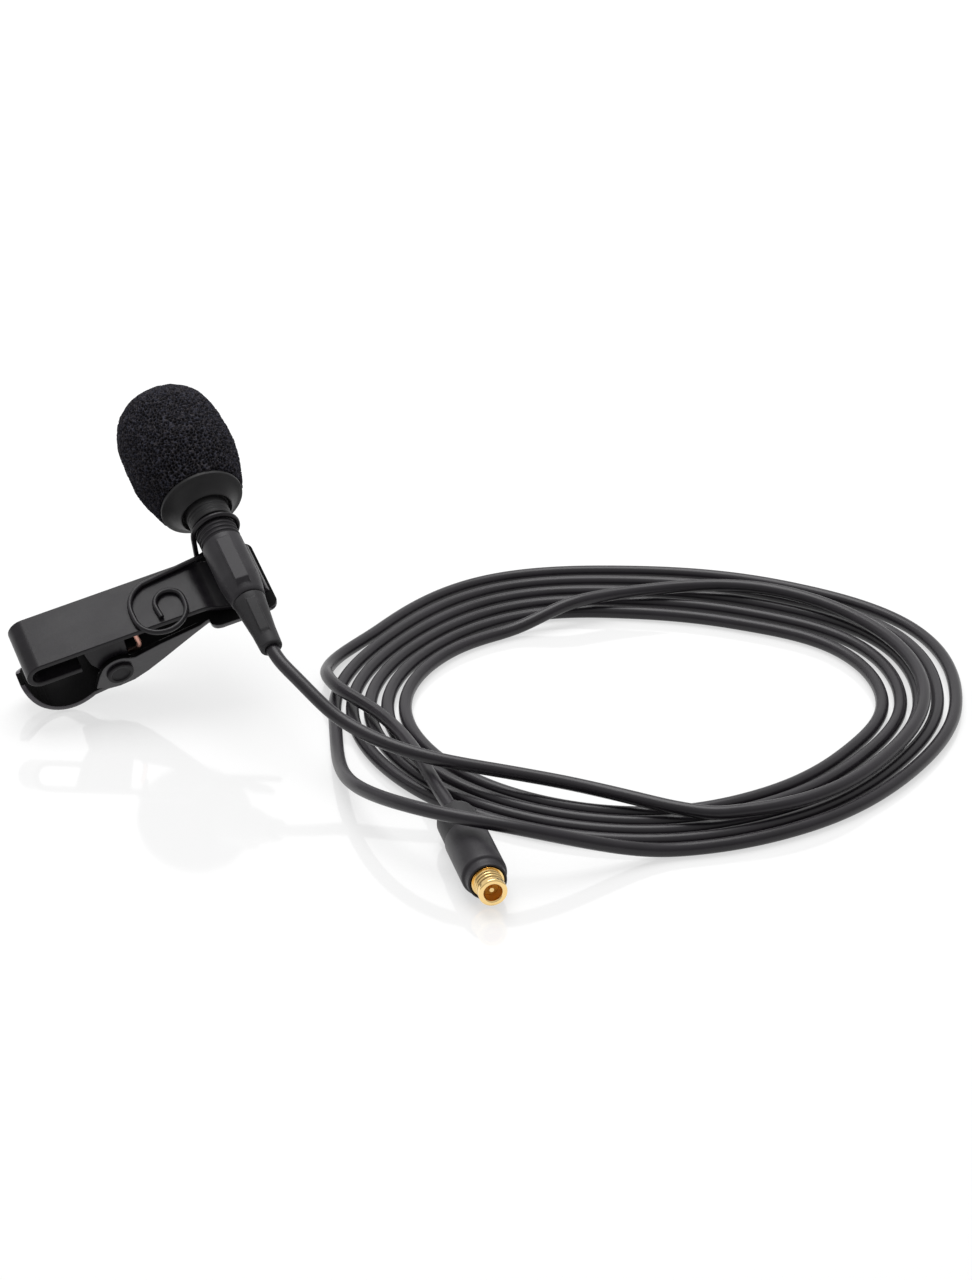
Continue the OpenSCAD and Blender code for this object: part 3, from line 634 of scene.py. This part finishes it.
def collar_outline():
    """The collar's outline: its neck in the foam, its hollow disc, its lip and its ribbed sleeve."""
    outline = [(BORE_R, NECK_END), (NECK_R - NECK_PLAY, NECK_END), (NECK_R - NECK_PLAY, DISC_BACK)]
    back, front = DISC_BACK_ROUNDING, DISC_FRONT_ROUNDING
    outline += arc((DISC_R - back, DISC_BACK + back), back, -90, 0, 3)
    outline += arc((DISC_R - front, DISC_FRONT - 0.02), front, 0, 60, 3)
    outline += [(r, DISC_FRONT + z) for r, z in DISC_HOLLOW]
    outline += [(r, LIP_AT + z) for r, z in LIP]
    steps = RIBS * RIB_STEPS
    for i in range(steps + 1):
        radius = NECK_R - RIB_HEIGHT * (1 - math.cos(2 * math.pi * i / RIB_STEPS))
        outline.append((radius, LIP_AT + LIP_HEIGHT
                        + (COLLAR_END - END_HEIGHT - LIP_AT - LIP_HEIGHT) * i / steps))
    outline += [(NECK_R + r, COLLAR_END + z) for r, z in SLEEVE_END]
    return [*outline, (BORE_R, COLLAR_END)]


def shell_outline():
    """The plug's shell: its back, its shoulder and the rim of its mouth."""
    outline = [(SHELL_IN_R, SHELL_BACK)]
    back, mouth = SHELL_BACK_ROUNDING, SHELL_END - MOUTH_DEPTH
    outline += arc((SHELL_R - back, SHELL_BACK + back), back, -90, 0, 4)
    outline += arc((SHELL_R - SHOULDER_ROUNDING, SHELL_END + SHOULDER_AT), SHOULDER_ROUNDING, 0, 65, 6)
    outline += [(r, SHELL_END + z) for r, z in SHELL_NECK]
    outline += arc((RIM_R, SHELL_END - RIM_ROUNDING), RIM_ROUNDING, 0, 180, 6)
    return [*outline, (MOUTH_R, mouth), (SHELL_IN_R, mouth)]


def barrel_outline():
    """The plug's barrel, from its flange to its rounded nose."""
    outline = [(BARREL_IN_R, BARREL_BACK), (BARREL_FLANGE_R, BARREL_BACK), (BARREL_FLANGE_R, BARREL_FLANGE),
               (BARREL_NECK_R, BARREL_FLANGE), (BARREL_NECK_R, 0), (BARREL_R, 0)]
    nose = arc((0, 0), BARREL_NOSE, 0, 90, 6)
    outline += [(BARREL_R - BARREL_NOSE + x, BARREL_END - BARREL_NOSE + z) for x, z in nose]
    nose = arc((0, 0), BARREL_NOSE, 90, 180, 6)
    outline += [(BARREL_IN_R + BARREL_NOSE + x, BARREL_END - BARREL_NOSE + z) for x, z in nose]
    return outline


def wire(name, points, radius, body, finish):
    """A round wire along a line in metres."""
    curve = bpy.data.curves.new(name, "CURVE")
    curve.dimensions = "3D"
    curve.bevel_depth = radius
    curve.bevel_resolution = 6
    curve.use_fill_caps = True
    line = curve.splines.new("POLY")
    line.points.add(len(points) - 1)
    line.use_smooth = True
    for point, at in zip(line.points, points):
        point.co = (*at, 1)
    return add_piece(name, curve, body, finish)


def bent_line(points, steps):
    """A smooth line in metres through points in the clip's axes."""
    p = [Vector(v) for v in (points[0], *points, points[-1])]
    line = [cubic(*p[i - 1:i + 3], k / steps) for i in range(1, len(p) - 2) for k in range(steps)]
    return [CLIP_PLACE @ v * MM for v in [*line, p[-1]]]


def arc(centre, radius, start, end, steps):
    """Points of an arc, between two angles in degrees."""
    turns = [math.radians(start + (end - start) * i / steps) for i in range(steps + 1)]
    return [(centre[0] + radius * math.cos(a), centre[1] + radius * math.sin(a)) for a in turns]


def aim(thing, place, target):
    """Puts a camera or a lamp in the scene, turned towards a point."""
    thing.location = place
    thing.rotation_euler = (Vector(target) - thing.location).to_track_quat("-Z", "Y").to_euler()
    bpy.context.scene.collection.objects.link(thing)


def new_finish(finish, *nodes):
    """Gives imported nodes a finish."""
    for node in nodes:
        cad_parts[node].material_slots[0].material = finish


# ---- settings
class LeadSettings(bpy.types.PropertyGroup):
    diameter: bpy.props.FloatProperty(
        name="Diameter", description="Diameter of the lead's jacket", default=CORD_D * MM, min=0.0005,
        max=0.002, unit="LENGTH", subtype="DISTANCE")
    colour: bpy.props.FloatVectorProperty(
        name="Colour", description="Colour of the lead's jacket", default=(0.0135, 0.0108, 0.0150), min=0,
        max=1, size=3, subtype="COLOR")
    roughness: bpy.props.FloatProperty(
        name="Roughness", description="Roughness of the jacket", default=0.34, min=0, max=1,
        subtype="FACTOR")


class WindscreenSettings(bpy.types.PropertyGroup):
    cell: bpy.props.FloatProperty(
        name="Cell size", description="Size of the foam's open cells", default=0.00042, min=0.0002,
        max=0.002, unit="LENGTH", subtype="DISTANCE")
    depth: bpy.props.FloatProperty(
        name="Cell depth", description="Depth of the open cells at the surface", default=0.00028, min=0,
        max=0.001, unit="LENGTH", subtype="DISTANCE")
    colour: bpy.props.FloatVectorProperty(
        name="Foam colour", description="Colour of the foam", default=(0.0188, 0.0168, 0.0190), min=0,
        max=1, size=3, subtype="COLOR")
    collar_colour: bpy.props.FloatVectorProperty(
        name="Collar colour", description="Colour of the collar", default=(0.015, 0.0145, 0.0155), min=0,
        max=1, size=3, subtype="COLOR")


class BodySettings(bpy.types.PropertyGroup):
    plastic: bpy.props.FloatVectorProperty(
        name="Plastic colour", description="Colour of the boot and the plug's shell",
        default=(0.027, 0.0248, 0.0288), min=0, max=1, size=3, subtype="COLOR")
    rubber: bpy.props.FloatVectorProperty(
        name="Rubber colour", description="Colour of the strain reliefs", default=(0.022, 0.021, 0.023),
        min=0, max=1, size=3, subtype="COLOR")


class ClipSettings(bpy.types.PropertyGroup):
    colour: bpy.props.FloatVectorProperty(
        name="Paint colour", description="Colour of the clip's paint", default=(0.0125, 0.0108, 0.0135),
        min=0, max=1, size=3, subtype="COLOR")
    edge: bpy.props.FloatProperty(
        name="Edge rounding", description="Rounding of the sheet's edges", default=0.00014, min=0,
        max=0.0003, unit="LENGTH", subtype="DISTANCE")


class PlugSettings(bpy.types.PropertyGroup):
    gold: bpy.props.FloatVectorProperty(
        name="Plating colour", description="Colour of the plug's plating", default=(0.95, 0.68, 0.30),
        min=0, max=1, size=3, subtype="COLOR")
    insulator: bpy.props.FloatVectorProperty(
        name="Insulator colour", description="Colour of the plug's insulator", default=(0.95, 0.45, 0.05),
        min=0, max=1, size=3, subtype="COLOR")
    pitch: bpy.props.FloatProperty(
        name="Thread pitch", description="Pitch of the barrel's thread", default=0.00056, min=0.0002,
        max=0.001, unit="LENGTH", subtype="DISTANCE")


class StageSettings(bpy.types.PropertyGroup):
    floor: bpy.props.FloatVectorProperty(
        name="Floor colour", description="Colour of the floor", default=(0.36, 0.36, 0.36), min=0, max=1,
        size=3, subtype="COLOR")
    glow: bpy.props.FloatProperty(
        name="Floor glow", description="Light that the camera sees in the floor", default=0.6, min=0, max=1)
    focal_length: bpy.props.FloatProperty(
        name="Focal length", description="Focal length of the camera in millimetres", default=92.8,
        min=20, max=300)


# ---- makers
class MIC_OT_lead(bpy.types.Operator):
    """Make the lead, after the plug: its run from the microphone, its coil and its run to the plug"""
    bl_idname = "mic.lead"
    bl_label = "Lead"

    def execute(self, context):
        settings = context.scene.mic_lead
        route = lead_route()
        jacket = lead_jacket("lead_jacket", settings.colour, settings.roughness)
        lead = wire("lead", route, settings.diameter / 2, "microphone", jacket)
        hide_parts("cord_from_mic", "cord_coil", "cord_to_plug")
        length = sum((b - a).length for a, b in zip(route, route[1:]))
        return {"FINISHED"}


class MIC_OT_windscreen(bpy.types.Operator):
    """Make the foam windscreen and its collar"""
    bl_idname = "mic.windscreen"
    bl_label = "Windscreen"

    def execute(self, context):
        settings = context.scene.mic_windscreen
        bm = spun(even_outline(foam_outline(), FOAM_STEP), FOAM_TURNS)
        # the bore, from the neck's rim inwards
        rim = [e for e in bm.edges if e.is_boundary]
        for radius, z in ((NECK_R, NECK_END), (BORE_R, NECK_END), (BORE_R, BORE_END)):
            new = bmesh.ops.extrude_edge_only(bm, edges=rim)["geom"]
            ring = [g for g in new if isinstance(g, bmesh.types.BMVert)]
            for v in ring:
                flat = v.co.xy.normalized() * radius
                v.co = (flat.x, flat.y, z)
            rim = [g for g in new if isinstance(g, bmesh.types.BMEdge) and g.is_boundary]
        bmesh.ops.contextual_create(bm, geom=rim)
        bmesh.ops.recalc_face_normals(bm, faces=bm.faces)
        bm.normal_update()
        cell = bm.verts.layers.float.new("cell")
        size, depth = settings.cell / MM, settings.depth / MM
        moves = []
        for v in bm.verts:
            # the bore's points stay in place and get the painted shade of a deep cell
            if v.co.xy.length < NECK_R + BORE_WALL and v.co.z > BORE_END - BORE_FLOOR:
                v[cell] = BORE_CELL
                moves.append(Vector())
                continue
            # each point's depth in its cell moves it inwards, and the finish paints shade by it
            near = noise.voronoi(v.co / size)[0]
            v[cell] = smooth((near[1] - near[0] - STRUT) / STRUT_SLOPE)
            lump = sum(noise.noise(v.co * scale + at) * height for scale, at, height in FOAM_LUMPS)
            moves.append(v.normal * (lump - depth * v[cell]))
        for v, move in zip(bm.verts, moves):
            v.co += move
        mesh = to_mesh("foam_cover", bm, MIC_PLACE, NO_CREASE)
        foam = add_piece("foam_cover", mesh, "windscreen", open_foam("open_foam", settings.colour))
        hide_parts("foam_windscreen")
        bm = spun(collar_outline(), TURNED_STEPS, closed=True)
        mesh = to_mesh("collar_turned", bm, MIC_PLACE, CREASE)
        collar = add_piece("collar_turned", mesh, "windscreen",
                           moulded_plastic("collar_plastic", settings.collar_colour, 0.5))
        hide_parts("windscreen_collar")
        return {"FINISHED"}


class MIC_OT_body(bpy.types.Operator):
    """Finish the microphone's boot, strain relief and capsule"""
    bl_idname = "mic.body"
    bl_label = "Microphone body"

    def execute(self, context):
        settings = context.scene.mic_body
        plastic = moulded_plastic("boot_plastic", settings.plastic, 0.46)
        eased("mic_boot", "microphone", plastic, ROUNDING)
        rubber = moulded_plastic("relief_rubber", settings.rubber, 0.5)
        eased("strain_relief", "microphone", rubber, ROUNDING)
        black = moulded_plastic("capsule_black", settings.plastic, 0.35)
        new_finish(black, "capsule_grille", "capsule_housing")
        new_finish(lead_jacket("lead_end", settings.rubber, 0.45), "cable_end")
        new_finish(moulded_plastic("transistor_case", settings.plastic, 0.4), "fet")
        new_finish(plain_metal("tin_plate", TIN, 0.3), "cable_crimp", "gate_lead", "electret_can")
        new_finish(plain_metal("gilt", GILT, 0.3), "backplate", "diaphragm_ring")
        new_finish(resin("pale_resin", PALE_RESIN, 0.45), "backplate_insulator", "diaphragm", "spacer_ring")
        new_finish(resin("board_green", BOARD_GREEN, 0.4), "fet_board")
        new_finish(felt("grey_felt", GREY_FELT), "dust_felt")
        new_finish(plain_metal("copper_strand", BARE_COPPER, 0.35), "core_wire", "shield_wire")
        return {"FINISHED"}


class MIC_OT_clip(bpy.types.Operator):
    """Finish the clip: its plates, hinge pin, spring and wire"""
    bl_idname = "mic.clip"
    bl_label = "Clip"

    def execute(self, context):
        settings = context.scene.mic_clip
        edge = settings.edge / MM
        paint = painted_steel("clip_paint", settings.colour, 0.33, 0.23)
        eased("clip_front_plate", "clip", paint, edge)
        # the rear jaw's paint is the clip's colour made twice as light, a painted lightening of the same
        # paint, with a clear coat
        jaw_paint = painted_steel("jaw_paint", [2 * c for c in settings.colour], 0.34, 0.12, 1.0)
        jaw = eased("clip_rear_jaw", "rear_jaw", jaw_paint, edge, shaped=spoon_shaped)
        # the faces inside the finger end get the paint's painted shade, and those on its rim its painted
        # highlight
        mark_faces(jaw, "inside",
                   lambda middle, normal: normal.z > INSIDE_FACES and abs(normal.y) < SIDE_FACES)
        mark_faces(jaw, "rim",
                   lambda middle, normal: middle.x > SPOON_FROM and abs(normal.y) > SIDE_FACES)
        eased("hinge_pin", "clip", paint, PIN_ROUNDING, 2)

        copper = spring_copper("spring_copper", COPPER_WASH, 0.4)
        coil = []
        for i in range(SPRING_STEPS + 1):
            turn = math.pi + SPRING_TURN * i / SPRING_STEPS
            coil.append((PIVOT[0] + SPRING_R * math.cos(turn),
                         SPRING_Y[0] + (SPRING_Y[1] - SPRING_Y[0]) * i / SPRING_STEPS,
                         PIVOT[1] + SPRING_R * math.sin(turn)))
        line = bent_line(SPRING_FRONT_LEG + coil, 3)
        spring = wire("spring_wire", line, SPRING_D / 2 * MM, "clip", copper)
        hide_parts("torsion_spring")
        line = bent_line([(x, SPRING_Y[1], z) for x, z in SPRING_REAR_LEG], 3)
        wire("spring_rear_leg", line, SPRING_D / 2 * MM, "rear_jaw", copper)

        lacquer = moulded_plastic("wire_lacquer", settings.colour, 0.3)
        leg = [(RING_R, 0, z) for z in (LEG_END, LEG_END / 2, -0.5)]
        ring = [(x, 0, z) for x, z in arc((0, 0), RING_R, 0, 270, 18)]
        curl = [at for x, y, *bend in CURL for at in arc((x, y), *bend)] + [CURL_END]
        line = bent_line(leg + ring + WIRE_TO_FACE + [(x, y, WIRE_Z) for x, y in curl], 5)
        holder = wire("holder_wire", line, HOLDER_WIRE_D / 2 * MM, "clip", lacquer)
        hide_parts("wire_holder")
        return {"FINISHED"}


class MIC_OT_plug(bpy.types.Operator):
    """Finish the plug: its sleeve, shell, threaded barrel, insulator and pin"""
    bl_idname = "mic.plug"
    bl_label = "Plug"

    def execute(self, context):
        settings = context.scene.mic_plug
        body = context.scene.mic_body
        plastic = moulded_plastic("shell_plastic", body.plastic, 0.42)
        bm = spun(shell_outline(), TURNED_STEPS, closed=True)
        mesh = to_mesh("shell_turned", bm, PLUG_PLACE, PLUG_CREASE)
        shell = add_piece("shell_turned", mesh, "microphone", plastic)
        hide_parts("plug_shell")
        rubber = moulded_plastic("sleeve_rubber", body.rubber, 0.5)
        eased("plug_relief", "microphone", rubber, ROUNDING)

        outline = barrel_outline()
        bm = spun(even_outline(outline + outline[:1], BARREL_STEP)[:-1], TURNED_STEPS, closed=True)
        # the groove's depth cuts the thread and also sets its painted shade
        groove = bm.verts.layers.float.new("groove")
        for v in bm.verts:
            radius = v.co.xy.length
            if radius > (BARREL_IN_R + BARREL_R) / 2 and v.co.z > THREAD_FROM:
                turn = v.co.z / settings.pitch * MM - math.atan2(v.co.y, v.co.x) / (2 * math.pi)
                cut = (0.5 + 0.5 * math.cos(2 * math.pi * turn)) ** THREAD_SHARPNESS
                ends = smooth(v.co.z / THREAD_IN) * smooth((THREAD_END - v.co.z) / THREAD_OUT)
                v[groove] = cut * ends
                v.co.xy *= 1 - THREAD_DEPTH * v[groove] / radius
        bmesh.ops.transform(bm, matrix=Matrix.Translation((0, 0, SHELL_END)), verts=bm.verts)
        mesh = to_mesh("threaded_barrel", bm, PLUG_PLACE, PLUG_CREASE)
        barrel = add_piece("threaded_barrel", mesh, "microphone",
                           threaded_gold("gold_thread", settings.gold, 0.14))
        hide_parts("plug_barrel")
        new_finish(plain_metal("gold_plate", settings.gold, 0.16), "plug_pin")
        new_finish(resin("amber_resin", settings.insulator, 0.3), "plug_insulator")
        return {"FINISHED"}


class MIC_OT_stage(bpy.types.Operator):
    """Make the camera, the floor, the lights and the white surroundings"""
    bl_idname = "mic.stage"
    bl_label = "Stage"

    def execute(self, context):
        settings = context.scene.mic_stage
        scene = context.scene
        scene.view_settings.view_transform = "Standard"

        lens = bpy.data.cameras.new("camera")
        lens.lens = settings.focal_length
        lens.sensor_width = CAMERA_FILM
        lens.clip_start, lens.clip_end = CAMERA_RANGE
        camera = bpy.data.objects.new("camera", lens)
        aim(camera, CAMERA_AT, CAMERA_TO)
        scene.camera = camera

        bm = bmesh.new()
        bmesh.ops.create_grid(bm, x_segments=1, y_segments=1, size=FLOOR_HALF)
        mesh = bpy.data.meshes.new("floor")
        bm.to_mesh(mesh)
        bm.free()
        floor = bpy.data.objects.new("floor", mesh)
        scene.collection.objects.link(floor)
        f = Finish("floor")
        # a glow that shows to the camera and in shiny pieces, and doesn't light the object
        seen = f.seen_as("Is Camera Ray", "Is Glossy Ray", "Is Transmission Ray")
        mesh.materials.append(f.surface(
            Base_Color=rgb(settings.floor), Roughness=0.07, Specular_IOR_Level=0.8,
            Emission_Color=f.mixed(seen, rgb((0, 0, 0)), rgb((1, 1, 1))), Emission_Strength=settings.glow))

        scene.world = surroundings()
        lamp = bpy.data.lights.new("top_light", "AREA")
        lamp.size = LAMP_WIDTH
        lamp.energy = LAMP_POWER
        held = bpy.data.objects.new("top_light", lamp)
        aim(held, LAMP_AT, LAMP_TO)
        return {"FINISHED"}


class MIC_PT_panel(bpy.types.Panel):
    """Lists the makers in the 3D view's sidebar"""
    bl_idname = "MIC_PT_panel"
    bl_label = "Lavalier Microphone"
    bl_space_type = "VIEW_3D"
    bl_region_type = "UI"
    bl_category = "Microphone"

    def draw(self, context):
        for maker, settings in MAKERS:
            box = self.layout.box()
            box.operator(maker.bl_idname)
            group = getattr(context.scene, settings)
            for key in group.__annotations__:
                box.prop(group, key)


SETTINGS = {"mic_stage": StageSettings, "mic_lead": LeadSettings, "mic_windscreen": WindscreenSettings,
            "mic_body": BodySettings, "mic_clip": ClipSettings, "mic_plug": PlugSettings}
MAKERS = [(MIC_OT_stage, "mic_stage"), (MIC_OT_windscreen, "mic_windscreen"), (MIC_OT_body, "mic_body"),
          (MIC_OT_clip, "mic_clip"), (MIC_OT_plug, "mic_plug"), (MIC_OT_lead, "mic_lead")]
CLASSES = [*SETTINGS.values(), *[maker for maker, _ in MAKERS], MIC_PT_panel]


def register():
    for cls in CLASSES:
        bpy.utils.register_class(cls)
    for name, cls in SETTINGS.items():
        setattr(bpy.types.Scene, name, bpy.props.PointerProperty(type=cls))


def unregister():
    for name in SETTINGS:
        delattr(bpy.types.Scene, name)
    for cls in reversed(CLASSES):
        bpy.utils.unregister_class(cls)


def main():
    register()
    bpy.ops.mic.stage()
    bpy.ops.mic.windscreen()
    bpy.ops.mic.body()
    bpy.ops.mic.clip()
    bpy.ops.mic.plug()
    bpy.ops.mic.lead()


if __name__ == "__main__":
    main()
